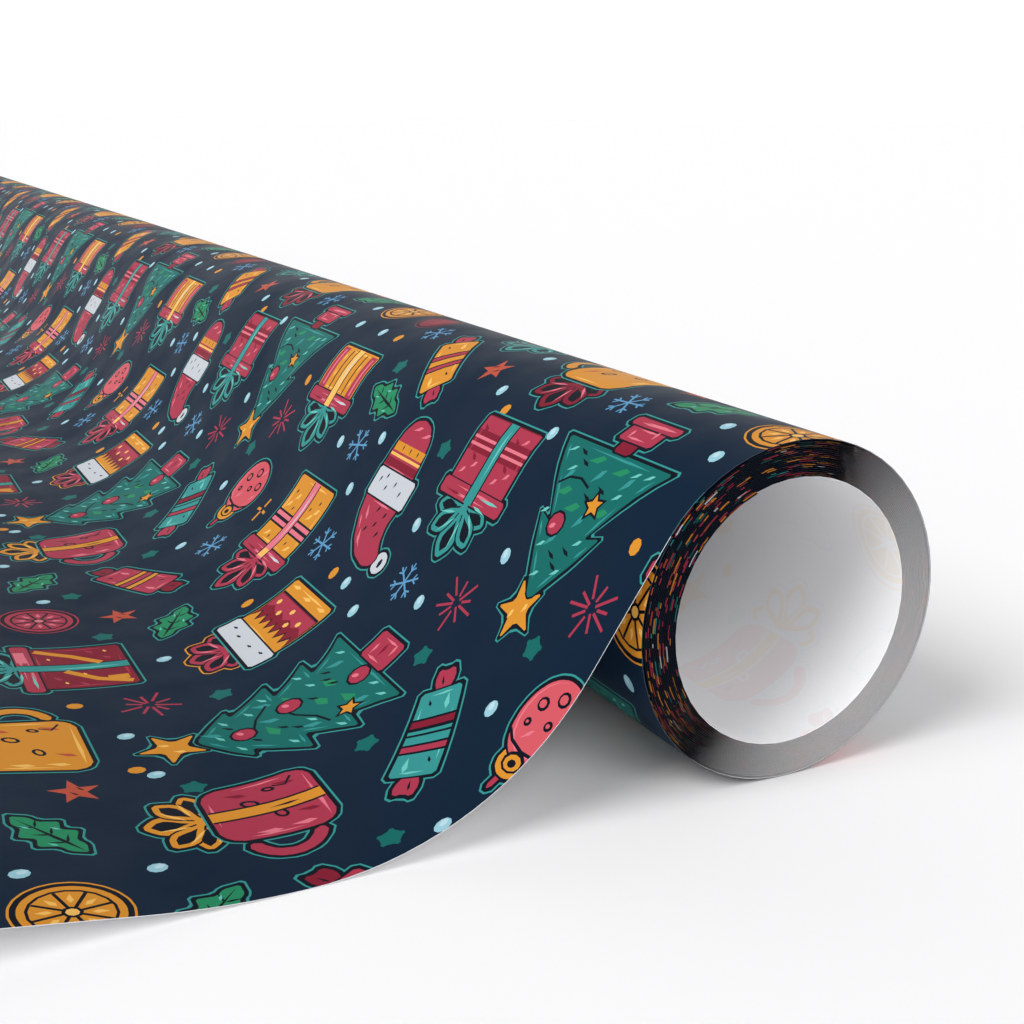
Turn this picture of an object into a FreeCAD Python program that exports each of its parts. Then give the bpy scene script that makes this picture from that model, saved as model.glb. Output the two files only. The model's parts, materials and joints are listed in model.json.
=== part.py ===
import FreeCAD, Part
import os
from math import atan2, cos, degrees, radians, sin, sqrt
from FreeCAD import Vector
import Sketcher

# A coreless roll of printed gift wrap, partly unrolled: one long web of paper, wound into a
# spiral of turns round an open bore, whose free end leaves the top of the roll, runs down to
# the table and lifts a little towards its cut edge.
#
# Frame: the roll's axis is Y, through the middle of the bore; the origin is half way along it.
# Z is up, and the free sheet runs towards -X. Lengths are in millimetres, angles in degrees.
# Angles about the axis are counted from +X towards +Z. The web winds outwards as they grow.
#
# Every piece is a band of paper seen end on, drawn as a closed outline and padded along Y.

doc = FreeCAD.newDocument("wrapping_paper_roll")

# ---------------------------------------------------------------- driving dimensions

SIZES = [
    ("roll_length", 762.0, "width of the web, which is the length of the roll"),
    ("bore_radius", 17.3, "radius of the open middle, at the innermost turn's back"),
    ("paper_thickness", 0.12, "caliper of the paper"),
    ("air_gap", 0.12, "air left between one turn and the next"),
    ("running_gap", 0.20, "clearance between the wound pack and the outermost turn"),
    ("seam_angle", 112.0, "where each turn of the pack ends and the next begins"),
    ("step_angle", 72.0, "last stretch of each turn, in which it climbs over its own start"),
    ("leave_angle", 146.5, "where the outermost turn leaves the roll as a free sheet"),
    ("rise_bend", 41.6, "radius of the sheet's bend down on to the table"),
    ("front_bend", 109.0, "radius of the gentle bend that lifts the sheet off the table"),
    ("front_lift", 9.5, "slope of the free sheet beyond that bend"),
    ("front_straight", 14.0, "straight run after the bend, up to the second fold line"),
    ("edge_length", 46.0, "last panel of the sheet, up to its cut edge"),
    ("fold_gap", 0.30, "gap left at each line about which the sheet bends"),
]
TURNS = 20          # turns in the roll, the outermost one included
GROUP_ENDS = (6, 11, 16)    # turns that start where a group that slides endways comes to its end

sheet = doc.addObject("Spreadsheet::Sheet", "Sizes")
size = {}
for row, (alias, value, meaning) in enumerate(SIZES, start=1):
    sheet.set(f"A{row}", alias)
    sheet.set(f"B{row}", str(value))
    sheet.set(f"C{row}", meaning)
    sheet.setAlias(f"B{row}", alias)
doc.recompute()
for alias, value, meaning in SIZES:
    size[alias] = float(sheet.get(alias))


def cells(text):
    """An expression with each size's name written as its spreadsheet cell."""
    for alias in sorted(size, key=len, reverse=True):
        text = text.replace(alias, "Sizes." + alias)
    return text


def angle_cells(text):
    """The same for an angle, because an angle in a sketch is bound to a number of degrees."""
    return "(" + cells(text) + ") * 1 deg"


# ---------------------------------------------------------------- sketching helpers

ORIGIN = (-1, 1)    # the sketch's own origin, as a (curve, point) pair
START, END, CENTRE = 1, 2, 3


def polar(radius, angle):
    """The point at this distance from the axis and at this angle."""
    return Vector(radius * cos(radians(angle)), radius * sin(radians(angle)), 0)


def arc(centre, radius, first, last):
    """An arc about centre, drawn counterclockwise between two angles in degrees."""
    circle = Part.Circle(centre, Vector(0, 0, 1), radius)
    return Part.ArcOfCircle(circle, radians(first), radians(last))


def new_profile(label):
    """An empty body with a sketch on its XZ plane: the sketch sees the roll end on."""
    body = doc.addObject("PartDesign::Body", label)
    body.Label = label
    sketch = body.newObject("Sketcher::SketchObject", label + "_profile")
    plane = [f for f in body.Origin.OriginFeatures if f.Role == "XZ_Plane"][0]
    sketch.AttachmentSupport = [(plane, "")]
    sketch.MapMode = "FlatFace"
    return body, sketch


def meet(sketch, one, other):
    """Bring two points of the sketch together."""
    sketch.addConstraint(Sketcher.Constraint("Coincident", *one, *other))


def bind(sketch, kind, places, value, expression):
    """Add a constraint that has a size, and tie it to the spreadsheet."""
    number = sketch.addConstraint(Sketcher.Constraint(kind, *places, value))
    sketch.setExpression(f"Constraints[{number}]", expression)
    return number


def pad(body, sketch):
    """Give the outline the roll's length, half to each side of the middle."""
    feature = body.newObject("PartDesign::Pad", body.Label + "_pad")
    feature.Profile = sketch
    feature.SideType = "Symmetric"
    feature.setExpression("Length", "Sizes.roll_length")
    return body


# ---------------------------------------------------------------- the wound turns

PITCH = "(paper_thickness + air_gap)"
# an arc that starts square to a circle, and gains one pitch over the step angle, has a radius
# larger than the circle's by this much
STEP = f"({PITCH} / (1 - cos(step_angle * 1 deg)))"

pitch = size["paper_thickness"] + size["air_gap"]
step = pitch / (1 - cos(radians(size["step_angle"])))


def turn_radius(number):
    """The radius of a turn's back, as an expression and a value. Turn 1 is the outermost."""
    inside = TURNS - number          # turns between this one and the bore
    text = f"bore_radius + {inside} * {PITCH}"
    value = size["bore_radius"] + inside * pitch
    if number == 1:
        text += " + running_gap"
        value += size["running_gap"]
    return text, value


def make_turn(number):
    """One turn of the web: a circle, and then a wider arc that steps out over its start."""
    label = f"turn_{number:02d}"
    seam = "leave_angle" if number == 1 else "seam_angle"
    start = seam
    if number in GROUP_ENDS:                     # keep clear of the group inside, which slides
        start += " + fold_gap / bore_radius * 180 / pi"
    text, radius = turn_radius(number)
    caliper = size["paper_thickness"]
    last = size[seam]
    first = last + (degrees(size["fold_gap"] / size["bore_radius"]) if start != seam else 0)
    widen = last + 360 - size["step_angle"]      # where the circle ends and the wider arc begins
    hub = polar(-step, widen)                    # centre of the wider arc

    def reach(wide):
        """Where the wider arc of this radius comes back to the seam: its angle at the hub."""
        off = step * sin(radians(size["step_angle"]))
        far = -step * cos(radians(size["step_angle"])) + sqrt(wide * wide - off * off)
        end = polar(far, last) - hub
        return 360 + degrees(atan2(end.y, end.x))

    body, sketch = new_profile(label)
    sketch.addGeometry([
        arc(Vector(), radius, first, widen),
        arc(Vector(), radius + caliper, first, widen),
        arc(hub, radius + step, widen, reach(radius + step)),
        arc(hub, radius + caliper + step, widen, reach(radius + caliper + step)),
        Part.LineSegment(polar(radius, first), polar(radius + caliper, first)),
        Part.LineSegment(polar(radius + pitch, last), polar(radius + pitch + caliper, last)),
    ], False)
    sketch.addGeometry(Part.LineSegment(Vector(), polar(radius, widen)), True)
    back, print_side, back_step, print_step, start_cut, end_cut, spoke = range(7)

    for curve in (back, print_side):
        meet(sketch, (curve, CENTRE), ORIGIN)
    meet(sketch, (start_cut, START), (back, START))
    meet(sketch, (start_cut, END), (print_side, START))
    meet(sketch, (spoke, START), ORIGIN)
    meet(sketch, (spoke, END), (back, END))
    meet(sketch, (back_step, START), (back, END))
    meet(sketch, (print_step, START), (print_side, END))
    meet(sketch, (print_step, CENTRE), (back_step, CENTRE))
    meet(sketch, (end_cut, START), (back_step, END))
    meet(sketch, (end_cut, END), (print_step, END))
    for point, line in ((ORIGIN, start_cut), ((print_side, END), spoke),
                        ((back_step, CENTRE), spoke), (ORIGIN, end_cut)):
        sketch.addConstraint(Sketcher.Constraint("PointOnObject", *point, line))
    bind(sketch, "Radius", (back,), radius, cells(text))
    bind(sketch, "Radius", (print_side,), radius + caliper, cells(f"{text} + paper_thickness"))
    bind(sketch, "Radius", (back_step,), radius + step, cells(f"{text} + {STEP}"))
    bind(sketch, "Angle", (start_cut,), radians(first), angle_cells(start))
    bind(sketch, "Angle", (end_cut,), radians(last), angle_cells(seam))
    bind(sketch, "Angle", (spoke,), radians(widen - 360), angle_cells(f"{seam} - step_angle"))
    return pad(body, sketch)


pieces = [make_turn(number) for number in range(1, TURNS + 1)]


# ---------------------------------------------------------------- the free sheet
#
# It leaves the roll square to the radius at leave_angle, runs straight, bends down on to the
# table along one arc, lifts again along a gentler one and ends in a straight stretch. The
# table is as far below the axis as the roll's own outside, so both rest on it.

BACK = turn_radius(1)[0] + " + " + PITCH            # back of the web where it leaves the roll
FLOOR = "(" + turn_radius(1)[0] + " + paper_thickness)"
SLOPE = "(leave_angle - 90) * 1 deg"                # how steeply the sheet leaves the roll
RUN = (f"((({BACK}) * sin(leave_angle * 1 deg) + {FLOOR}"
       f" - rise_bend * (1 - cos({SLOPE}))) / sin({SLOPE}))")
VALLEY = (f"(({BACK}) * cos(leave_angle * 1 deg) - {RUN} * cos({SLOPE})"
          f" - rise_bend * sin({SLOPE}))")          # x of the line along which it lies on the table

back = turn_radius(1)[1] + pitch
floor = turn_radius(1)[1] + size["paper_thickness"]
slope = size["leave_angle"] - 90
run = (back * sin(radians(size["leave_angle"])) + floor
       - size["rise_bend"] * (1 - cos(radians(slope)))) / sin(radians(slope))
valley = (back * cos(radians(size["leave_angle"])) - run * cos(radians(slope))
          - size["rise_bend"] * sin(radians(slope)))
caliper = size["paper_thickness"]


def make_rise():
    """From the roll's outermost turn down to the table: a straight run and a bend."""
    label = "sheet_rise"
    leave = size["leave_angle"]
    hub = Vector(valley, size["rise_bend"] - floor, 0)
    down = polar(run, leave + 90)
    body, sketch = new_profile(label)
    sketch.addGeometry([
        Part.LineSegment(polar(back, leave), polar(back, leave) + down),
        Part.LineSegment(polar(back + caliper, leave), polar(back + caliper, leave) + down),
        arc(hub, size["rise_bend"], 270, 270 + slope),
        arc(hub, size["rise_bend"] - caliper, 270, 270 + slope),
        Part.LineSegment(polar(back, leave), polar(back + caliper, leave)),
        Part.LineSegment(Vector(valley, -floor, 0), Vector(valley, caliper - floor, 0)),
    ], False)
    back_run, print_run, back_bend, print_bend, roll_cut, floor_cut = range(6)
    meet(sketch, (roll_cut, START), (back_run, START))
    meet(sketch, (roll_cut, END), (print_run, START))
    meet(sketch, (print_bend, CENTRE), (back_bend, CENTRE))
    meet(sketch, (floor_cut, START), (back_bend, START))
    meet(sketch, (floor_cut, END), (print_bend, START))
    for line, bend in ((back_run, back_bend), (print_run, print_bend)):
        sketch.addConstraint(Sketcher.Constraint("Tangent", line, END, bend, END))
    sketch.addConstraint(Sketcher.Constraint("PointOnObject", *ORIGIN, roll_cut))
    sketch.addConstraint(Sketcher.Constraint("Perpendicular", roll_cut, back_run))
    sketch.addConstraint(Sketcher.Constraint("Parallel", back_run, print_run))
    sketch.addConstraint(Sketcher.Constraint("Vertical", floor_cut))
    sketch.addConstraint(Sketcher.Constraint("Vertical", back_bend, CENTRE, back_bend, START))
    bind(sketch, "Angle", (roll_cut,), radians(leave), angle_cells("leave_angle"))
    bind(sketch, "Distance", (*ORIGIN, roll_cut, START), back, cells(BACK))
    bind(sketch, "Distance", (roll_cut,), caliper, cells("paper_thickness"))
    bind(sketch, "Radius", (back_bend,), size["rise_bend"], cells("rise_bend"))
    bind(sketch, "DistanceY", (*ORIGIN, back_bend, CENTRE), size["rise_bend"] - floor,
         cells(f"rise_bend - {FLOOR}"))
    return pad(body, sketch)


def make_front():
    """From the table up: a gentle bend, and then a straight run to the second fold line."""
    label = "sheet_front"
    bend, lift = size["front_bend"], size["front_lift"]
    hub = Vector(valley, bend - floor, 0)
    gap = degrees(size["fold_gap"] / bend)
    slant = polar(size["front_straight"], 180 - lift)
    body, sketch = new_profile(label)
    sketch.addGeometry([
        arc(hub, bend, 270 - lift, 270 - gap),
        arc(hub, bend - caliper, 270 - lift, 270 - gap),
        Part.LineSegment(hub + polar(bend, 270 - lift), hub + polar(bend, 270 - lift) + slant),
        Part.LineSegment(hub + polar(bend - caliper, 270 - lift),
                         hub + polar(bend - caliper, 270 - lift) + slant),
        Part.LineSegment(hub + polar(bend, 270 - gap), hub + polar(bend - caliper, 270 - gap)),
        Part.LineSegment(hub + polar(bend, 270 - lift) + slant,
                         hub + polar(bend - caliper, 270 - lift) + slant),
    ], False)
    back_bend, print_bend, back_run, print_run, floor_cut, fold_cut = range(6)
    meet(sketch, (print_bend, CENTRE), (back_bend, CENTRE))
    meet(sketch, (floor_cut, START), (back_bend, END))
    meet(sketch, (floor_cut, END), (print_bend, END))
    meet(sketch, (fold_cut, START), (back_run, END))
    meet(sketch, (fold_cut, END), (print_run, END))
    for line, bow in ((back_run, back_bend), (print_run, print_bend)):
        sketch.addConstraint(Sketcher.Constraint("Tangent", line, START, bow, START))
    sketch.addConstraint(Sketcher.Constraint("PointOnObject", back_bend, CENTRE, floor_cut))
    sketch.addConstraint(Sketcher.Constraint("Perpendicular", fold_cut, back_run))
    sketch.addConstraint(Sketcher.Constraint("Parallel", back_run, print_run))
    bind(sketch, "Angle", (back_run,), radians(180 - lift), angle_cells("180 - front_lift"))
    bind(sketch, "Angle", (floor_cut,), radians(90 - gap),
         angle_cells("90 - fold_gap / front_bend * 180 / pi"))
    bind(sketch, "Distance", (back_run,), size["front_straight"], cells("front_straight"))
    bind(sketch, "Distance", (fold_cut,), caliper, cells("paper_thickness"))
    bind(sketch, "Radius", (back_bend,), bend, cells("front_bend"))
    bind(sketch, "DistanceX", (*ORIGIN, back_bend, CENTRE), valley, cells(VALLEY))
    bind(sketch, "DistanceY", (*ORIGIN, back_bend, CENTRE), bend - floor,
         cells(f"front_bend - {FLOOR}"))
    return pad(body, sketch)


def make_edge():
    """The last panel, straight up to the cut edge of the paper."""
    label = "sheet_edge"
    bend, lift, gap = size["front_bend"], size["front_lift"], size["fold_gap"]
    start = Vector(valley, bend - floor, 0) + polar(bend, 270 - lift)
    start += polar(size["front_straight"] + gap, 180 - lift)
    along, across = polar(size["edge_length"], 180 - lift), polar(caliper, 90 - lift)
    body, sketch = new_profile(label)
    corners = [start, start + along, start + along + across, start + across]
    sketch.addGeometry([Part.LineSegment(corners[n], corners[(n + 1) % 4]) for n in range(4)],
                       False)
    for n in range(4):
        meet(sketch, (n, END), ((n + 1) % 4, START))
    back_side, cut_edge, print_side, fold_cut = range(4)
    sketch.addConstraint(Sketcher.Constraint("Parallel", back_side, print_side))
    sketch.addConstraint(Sketcher.Constraint("Parallel", cut_edge, fold_cut))
    sketch.addConstraint(Sketcher.Constraint("Perpendicular", back_side, cut_edge))
    turned = "(front_lift * 1 deg)"
    bind(sketch, "Angle", (back_side,), radians(180 - lift), angle_cells("180 - front_lift"))
    bind(sketch, "Distance", (back_side,), size["edge_length"], cells("edge_length"))
    bind(sketch, "Distance", (cut_edge,), caliper, cells("paper_thickness"))
    bind(sketch, "DistanceX", (*ORIGIN, back_side, START), start.x,
         cells(f"{VALLEY} - front_bend * sin{turned} - (front_straight + fold_gap) * cos{turned}"))
    bind(sketch, "DistanceY", (*ORIGIN, back_side, START), start.y,
         cells(f"front_bend * (1 - cos{turned}) - {FLOOR} + (front_straight + fold_gap) * sin{turned}"))
    return pad(body, sketch)


pieces += [make_rise(), make_front(), make_edge()]

# ---------------------------------------------------------------- checks and files

doc.recompute()
for thing in doc.Objects:
    if {"Invalid", "Error"} & set(thing.State):
        raise RuntimeError(f"{thing.Label} did not build: {thing.State}")
for body in pieces:
    if body.Shape.isNull() or not body.Shape.isValid() or len(body.Shape.Solids) != 1:
        raise RuntimeError(f"{body.Label} is not one sound solid")

os.makedirs("parts", exist_ok=True)
for body in pieces:
    body.Shape.exportStep(f"parts/{body.Label}.step")

whole = FreeCAD.BoundBox()
for body in pieces:
    whole.add(body.Shape.BoundBox)
print(f"{len(pieces)} pieces of paper, {whole.XLength:.1f} x {whole.YLength:.1f} x {whole.ZLength:.1f} mm")
print(f"the roll is {2 * floor:.2f} mm thick; the sheet lies on the table at x = {valley:.2f}")
web = sum(body.Shape.Volume for body in pieces) / size["roll_length"] / caliper
print(f"length of paper in the roll and the sheet: {web:.0f} mm")
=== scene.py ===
# %% [markdown]
# # A roll of gift wrapping paper, with its sheet pulled out
#
# The real thing is one long web of thin coated paper, printed on one side and wound up without a
# core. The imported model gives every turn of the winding, its place and its joints. Here each turn
# is built again as what it is: a very thin sheet with a printed face, a white back and a cut edge.

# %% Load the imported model
import json
from math import cos, degrees, pi, radians, sin

import bpy
import numpy as np
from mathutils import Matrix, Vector
from mathutils.geometry import delaunay_2d_cdt


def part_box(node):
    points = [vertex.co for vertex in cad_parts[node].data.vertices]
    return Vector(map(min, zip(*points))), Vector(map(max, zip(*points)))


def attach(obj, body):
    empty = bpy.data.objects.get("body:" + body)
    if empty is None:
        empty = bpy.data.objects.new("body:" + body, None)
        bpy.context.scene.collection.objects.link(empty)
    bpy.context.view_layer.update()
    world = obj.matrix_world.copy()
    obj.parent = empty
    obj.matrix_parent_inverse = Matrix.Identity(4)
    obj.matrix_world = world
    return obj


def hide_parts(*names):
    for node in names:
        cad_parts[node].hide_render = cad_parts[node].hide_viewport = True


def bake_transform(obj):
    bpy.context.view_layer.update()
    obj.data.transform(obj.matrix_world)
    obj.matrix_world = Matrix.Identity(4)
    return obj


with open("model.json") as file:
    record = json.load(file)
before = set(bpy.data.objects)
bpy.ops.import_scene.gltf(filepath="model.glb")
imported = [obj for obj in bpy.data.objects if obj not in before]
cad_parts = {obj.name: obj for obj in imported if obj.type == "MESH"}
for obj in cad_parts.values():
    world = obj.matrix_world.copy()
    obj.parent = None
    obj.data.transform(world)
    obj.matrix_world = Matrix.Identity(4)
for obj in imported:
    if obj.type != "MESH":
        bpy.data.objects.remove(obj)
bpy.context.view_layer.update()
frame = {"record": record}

MM = 0.001

# %% [markdown]
# ## Camera, light and floor
#
# A long thin object is shown best from near one end, a little above it and to its side, so that the
# ring of wound turns is seen and the length runs away into the distance. A broad soft lamp from
# the upper left draws a soft shadow to the right. A wider and weaker one from in front fills the
# bore and the space under the sheet. The sky is bright low down and dimmer overhead: the bright rim
# gives coated paper its satin glance, and the floor runs into it without an edge.

# %% Camera
camera = bpy.data.objects.new("camera", bpy.data.cameras.new("camera"))
camera.location = (-0.10694, -0.51383, 0.05988)
camera.rotation_euler = (radians(74.214), radians(-0.578), radians(-26.78))
camera.data.lens, camera.data.sensor_width, camera.data.clip_start = 50, 36, 0.005
bpy.context.scene.collection.objects.link(camera)
bpy.context.scene.camera = camera
print("camera at", tuple(round(c, 4) for c in camera.location))

# %% Soft studio light
def soft_sun(name, strength, spread, aim):
    """A sun lamp as wide as a big soft box: `spread` is its width in degrees, `aim` where it shines."""
    lamp = bpy.data.objects.new(name, bpy.data.lights.new(name, "SUN"))
    lamp.data.energy, lamp.data.angle = strength, radians(spread)
    lamp.rotation_euler = Vector(aim).to_track_quat("-Z", "Y").to_euler()
    bpy.context.scene.collection.objects.link(lamp)


soft_sun("key_light", 2.08, 32, (0.95, 0.18, -0.84))
soft_sun("fill_light", 1.85, 60, (0.04, 0.95, -0.36))

sky = bpy.data.worlds.new("studio_sky")
sky.use_nodes = True
nodes, links = sky.node_tree.nodes, sky.node_tree.links
place, rise = nodes.new("ShaderNodeTexCoord"), nodes.new("ShaderNodeVectorMath")
rise.operation = "DOT_PRODUCT"
rise.inputs[1].default_value = (-0.15, -0.35, 1.0)     # overhead, and a little in front, is dimmer
height = nodes.new("ShaderNodeMapRange")
height.inputs["From Min"].default_value, height.inputs["From Max"].default_value = 0.10, 0.60
height.inputs["To Min"].default_value, height.inputs["To Max"].default_value = 1.15, 0.30
links.new(place.outputs["Generated"], rise.inputs[0])
links.new(rise.outputs["Value"], height.inputs["Value"])
links.new(height.outputs["Result"], nodes["Background"].inputs["Strength"])
nodes["Background"].inputs["Color"].default_value = (1.0, 1.0, 1.0, 1)
bpy.context.scene.world = sky
bpy.context.scene.view_settings.view_transform = "Standard"

# %% [markdown]
# ## Paper, ink and floor materials
#
# Gift wrap is coated paper: the coating gives a satin gloss that wanders a little from place to
# place, over a very fine felt of fibres. The back isn't coated, so it is rougher and shows its
# fibres more. Ink only changes the colour, so every ink is the same paper with another colour.
# The gloss and the fibres come from noise in Object coordinates, and the colour is set on the
# shader itself, so that the edges of the print stay as sharp as the mesh that draws them.

# %% Paper in any colour
def srgb(red, green, blue):
    """Screen colour from 0 to 255 as the linear colour that a shader wants."""
    c = np.array([red, green, blue]) / 255.0
    c = np.where(c <= 0.04045, c / 12.92, ((c + 0.055) / 1.055) ** 2.4)
    return (*c.tolist(), 1.0)


def paper(name, colour, gloss=(0.36, 0.50), fibres=0.10, specular=0.025):
    """Paper or ink of one colour: roughness wanders between two values, bump is fine fibres."""
    made = bpy.data.materials.new(name)
    made.use_nodes = True
    nodes, links = made.node_tree.nodes, made.node_tree.links
    shader = nodes["Principled BSDF"]
    shader.inputs["Base Color"].default_value = srgb(*colour)
    shader.inputs["Specular IOR Level"].default_value = specular
    where = nodes.new("ShaderNodeTexCoord")
    cloudy, felt = nodes.new("ShaderNodeTexNoise"), nodes.new("ShaderNodeTexNoise")
    cloudy.inputs["Scale"].default_value, cloudy.inputs["Detail"].default_value = 90, 4
    felt.inputs["Scale"].default_value, felt.inputs["Detail"].default_value = 1500, 5
    spread = nodes.new("ShaderNodeMapRange")
    spread.inputs["From Min"].default_value, spread.inputs["From Max"].default_value = 0.3, 0.7
    spread.inputs["To Min"].default_value, spread.inputs["To Max"].default_value = gloss
    bump = nodes.new("ShaderNodeBump")
    bump.inputs["Strength"].default_value, bump.inputs["Distance"].default_value = fibres, 0.0001
    for noise in (cloudy, felt):
        links.new(where.outputs["Object"], noise.inputs["Vector"])
    links.new(cloudy.outputs["Fac"], spread.inputs["Value"])
    links.new(spread.outputs["Result"], shader.inputs["Roughness"])
    links.new(felt.outputs["Fac"], bump.inputs["Height"])
    links.new(bump.outputs["Normal"], shader.inputs["Normal"])
    return made


# %% The printer's inks
INKS = {
    "navy": (9, 30, 50), "line": (7, 15, 28), "pine": (16, 97, 92), "leaf_green": (32, 128, 88),
    "teal": (48, 136, 134), "aqua": (100, 184, 176), "red": (160, 50, 72), "crimson": (122, 24, 45),
    "pink": (212, 110, 126), "mustard": (203, 135, 42), "honey": (228, 178, 92),
    "coral": (196, 82, 92), "rust": (176, 76, 56), "snow": (188, 193, 200), "ice": (142, 188, 202),
    "frost": (174, 204, 214), "sky": (86, 142, 184),
}
inks = {name: paper("ink_" + name, colour) for name, colour in INKS.items()}
back_white = paper("paper_back", (249, 249, 250), gloss=(0.62, 0.78), fibres=0.35, specular=0.3)
# Painted shade: the back that walls the bore is drawn a little greyer than the other backs.
bore_back = paper("paper_back_shaded_in_bore", (238, 238, 240), gloss=(0.62, 0.78), fibres=0.35, specular=0.3)
cut_edge = paper("paper_cut_edge", (214, 216, 220), gloss=(0.7, 0.85), fibres=0.3, specular=0.1)
# Painted shade: the cut edge of the outer and wound turns is drawn dark, for the shade in the ring's narrow
# gaps.
inked_edge = paper("paper_cut_edge_painted_shade", (58, 62, 72), gloss=(0.7, 0.85), fibres=0.3, specular=0.05)
SHOW_THROUGH = {"pine": (234, 237, 238), "teal": (233, 237, 238), "red": (238, 231, 232),
                "crimson": (235, 229, 231), "mustard": (239, 233, 227)}
ghosts = {name: paper("show_through_" + name, colour, gloss=(0.62, 0.78), fibres=0.35, specular=0.3)
          for name, colour in SHOW_THROUGH.items()}
print(len(inks), "inks,", len(ghosts), "show-through tints")

# %% The floor
def floor_sheet(low, half=12.0):
    """A flat square `half` metres each way at height `low`: x = s, y = t, z = low."""
    s, t = np.array([-half, half, half, -half]), np.array([-half, -half, half, half])
    mesh = bpy.data.meshes.new("floor")
    mesh.from_pydata(np.c_[s, t, np.full(4, low)].tolist(), [], [(0, 1, 2, 3)])
    floor = bpy.data.objects.new("floor", mesh)
    bpy.context.scene.collection.objects.link(floor)
    mesh.materials.append(paper("studio_floor", (244, 244, 245), (0.7, 0.85), 0.0, 0.02))
    return floor


floor_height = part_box("sheet_rise")[0].z     # the sheet lies on the table along one line
floor_sheet(floor_height)
print("floor at z =", round(floor_height / MM, 3), "mm")

# %% [markdown]
# ## The line that the web follows
#
# Seen end on, the web is one line: it winds round the bore in circles, each ending in a slightly
# wider arc that steps out over the next, then leaves the roll, runs down to the table, lies along
# it and lifts again. A list of runs says all that: each is a length and how fast the line turns.
# Any point follows from the run that it is on, and so does the outward direction there, which is
# what the shading needs.

# %% The web's line, run by run
bore = frame["record"]["mounts"][0]["dims"]["r_mm"]         # radius of the open middle
length = round((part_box("turn_01")[1].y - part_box("turn_01")[0].y) / MM, 2)
near_end = -length / 2
TURNS, CALIPER, PITCH, LOOSE = 20, 0.12, 0.24, 0.20
outside = bore + (TURNS - 1) * PITCH + LOOSE + CALIPER      # radius of the finished roll
STEP_ANGLE, SEAM, LEAVE = 72.0, 112.0, 146.5
STEP = PITCH / (1 - cos(radians(STEP_ANGLE)))
RISE_BEND, FRONT_BEND, FRONT_LIFT, FRONT_STRAIGHT, PANEL = 41.6, 109.0, 9.5, 14.0, 46.0
SHEET, TURN = 0.07, 0.015      # how thick the paper is drawn: outside, and in the ring's narrow gaps
PACK_ENDS, PACK_GAP = (6, 11, 16), 0.3      # the last turn of each group stops this short of the next
FOLD_GAP = 0.3                 # between the two stretches of the sheet that bend against each other
SQUARE_RUN = 2.0               # over this length the sheet comes square to its straight run
BLEND = 16.0                   # the sheet is parted this far before its second fold line


def follow(start, heading, runs):
    """Makes a line from runs of (length, heading change in degrees).

    On a run of length L that turns by q, the point at s is the start plus a chord of length
    s sinc(q s / 2 L) in the direction halfway between the first heading and the present one.
    """
    starts, headings, lengths, bends = [np.array(start, float)], [radians(heading)], [], []
    for run, turning in runs:
        bend = radians(turning) / run
        middle = headings[-1] + radians(turning) / 2
        chord = run * np.sinc(radians(turning) / 2 / pi)
        starts.append(starts[-1] + chord * np.array([cos(middle), sin(middle)]))
        headings.append(headings[-1] + radians(turning))
        lengths.append(run)
        bends.append(bend)
    return {"at": np.array(starts[:-1]), "heading": np.array(headings[:-1]),
            "from": np.r_[0, np.cumsum(lengths)[:-1]], "bend": np.array(bends),
            "length": float(sum(lengths))}


def on_line(line, s):
    """Points (x, z) and outward directions at the distances s along the line."""
    run = np.clip(np.searchsorted(line["from"], s, side="right") - 1, 0, len(line["from"]) - 1)
    gone, bend, first = s - line["from"][run], line["bend"][run], line["heading"][run]
    chord, middle = gone * np.sinc(bend * gone / 2 / pi), first + bend * gone / 2
    point = line["at"][run] + chord[:, None] * np.c_[np.cos(middle), np.sin(middle)]
    now = first + bend * gone
    return point, np.c_[np.sin(now), -np.cos(now)]


def wound(number):
    """Runs of one turn's printed face: a circle, then a wider arc up to the seam, in mm."""
    radius = bore + (TURNS - number) * PITCH + CALIPER + (LOOSE if number == 1 else 0)
    seam = LEAVE if number == 1 else SEAM
    first = seam - 360 + (degrees(PACK_GAP / bore) if number in PACK_ENDS else 0)
    circle = seam - STEP_ANGLE - first
    off = degrees(np.arcsin(STEP * sin(radians(STEP_ANGLE)) / (radius + STEP)))
    wide = STEP_ANGLE - off
    start = (radius * cos(radians(first)), radius * sin(radians(first)))
    runs = [(radius * radians(circle), circle), ((radius + STEP) * radians(wide), wide)]
    return start, first + 90, runs


start, heading, runs = wound(1)
turn_length = sum(run[0] for run in runs)
drop = LEAVE - 90
leaving = outside + PITCH
straight = ((leaving - CALIPER) * sin(radians(LEAVE)) + outside
            - RISE_BEND * (1 - cos(radians(drop)))) / sin(radians(drop))
# The wider arc ends askew, by this much.
square_up = degrees(np.arcsin(STEP * sin(radians(STEP_ANGLE)) / (outside + STEP)))
runs += [(SQUARE_RUN, square_up), (straight - SQUARE_RUN, 0.0),
         ((RISE_BEND - CALIPER) * radians(drop), -drop),
         ((FRONT_BEND - CALIPER) * radians(FRONT_LIFT), -FRONT_LIFT),
         (FRONT_STRAIGHT + FOLD_GAP + PANEL, 0.0)]
web = follow(start, heading, runs)
print("outer turn", round(turn_length, 2), "mm; web to the free edge", round(web["length"], 2), "mm")

# %% [markdown]
# ## The print: simple shapes in painting order
#
# The pattern is a scatter of plain festive things on dark blue, all drawn the same way: a flat
# colour, a dark surround, a thin teal contour outside that, and a few quick strokes for light and
# shade. It could be a painted image, but then its edges would blur close up. Here it is drawn as
# flat shapes, painted one over another, and later cut into the mesh itself.
#
# Shapes are in millimetres: a runs along the roll, b along the web towards its free edge, and a
# motif stands upright when b points up.

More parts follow.
